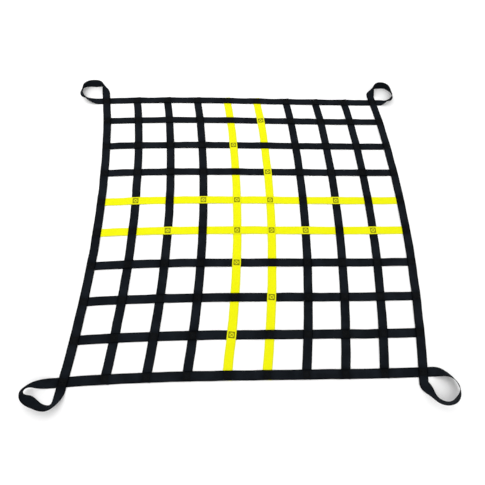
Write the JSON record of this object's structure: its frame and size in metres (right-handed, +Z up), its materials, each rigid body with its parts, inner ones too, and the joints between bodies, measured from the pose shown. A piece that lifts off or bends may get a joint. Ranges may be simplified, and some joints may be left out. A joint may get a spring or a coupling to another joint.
{
  "type": "cargo climbing net",
  "caption": "Square climbing net of crossed webbing straps, black with a yellow cross, with seams at the crossings and standing loops at the corners for hanging it.",
  "frame": {"origin": "middle of the laid net's box, on the ground", "axes": "+X to the right, +Y away from the near side, +Z up out of the face that shows"},
  "size_m": [2.2192, 2.1304, 0.0669],
  "materials": {
    "black_webbing": "woven, dull",
    "yellow_webbing": "woven, bright",
    "seam_thread": "bonded thread"
  },
  "bodies": {
    "net_right": {"right_edge_strap": "black_webbing", "long_strap_5": "yellow_webbing", "long_strap_6": "black_webbing", "long_strap_7": "black_webbing", "long_strap_8": "black_webbing", "far_edge_strap_right": "black_webbing", "cross_strap_1_right": "black_webbing", "cross_strap_2_right": "black_webbing", "cross_strap_3_right": "black_webbing", "cross_strap_4_right": "yellow_webbing", "cross_strap_5_right": "yellow_webbing", "cross_strap_6_right": "black_webbing", "cross_strap_7_right": "black_webbing", "cross_strap_8_right": "black_webbing", "near_edge_strap_right": "black_webbing", "seams_right": "seam_thread"},
    "net_left": {"left_edge_strap": "black_webbing", "long_strap_1": "black_webbing", "long_strap_2": "black_webbing", "long_strap_3": "black_webbing", "long_strap_4": "yellow_webbing", "far_edge_strap_left": "black_webbing", "cross_strap_1_left": "black_webbing", "cross_strap_2_left": "black_webbing", "cross_strap_3_left": "black_webbing", "cross_strap_4_left": "yellow_webbing", "cross_strap_5_left": "yellow_webbing", "cross_strap_6_left": "black_webbing", "cross_strap_7_left": "black_webbing", "cross_strap_8_left": "black_webbing", "near_edge_strap_left": "black_webbing", "seams_left": "seam_thread"},
    "loop_far_left": {"far_left_loop": "black_webbing"},
    "loop_far_right": {"far_right_loop": "black_webbing"},
    "loop_near_left": {"near_left_loop": "black_webbing"},
    "loop_near_right": {"near_right_loop": "black_webbing"}
  },
  "joints": [
    {"name": "middle_fold", "type": "hinge", "parent": "net_right", "child": "net_left", "pos_m": [0.03707, 0, 0.012], "axis": [0, 1, 0], "range_deg": [0, 150]},
    {"name": "far_left_loop_fold", "type": "hinge", "parent": "net_left", "child": "loop_far_left", "pos_m": [-0.9495, 0.91551, 0.0057], "axis": [0.6304, 0.7762, 0], "range_deg": [0, 90]},
    {"name": "far_right_loop_fold", "type": "hinge", "parent": "net_right", "child": "loop_far_right", "pos_m": [0.95445, 0.94361, 0.0057], "axis": [0.7639, -0.6454, 0], "range_deg": [0, 90]},
    {"name": "near_left_loop_fold", "type": "hinge", "parent": "net_left", "child": "loop_near_left", "pos_m": [-0.94919, -0.95301, 0.0057], "axis": [-0.6814, 0.732, 0], "range_deg": [0, 90]},
    {"name": "near_right_loop_fold", "type": "hinge", "parent": "net_right", "child": "loop_near_right", "pos_m": [0.95475, -0.92491, 0.0057], "axis": [-0.745, -0.667, 0], "range_deg": [0, 90]}
  ]
}
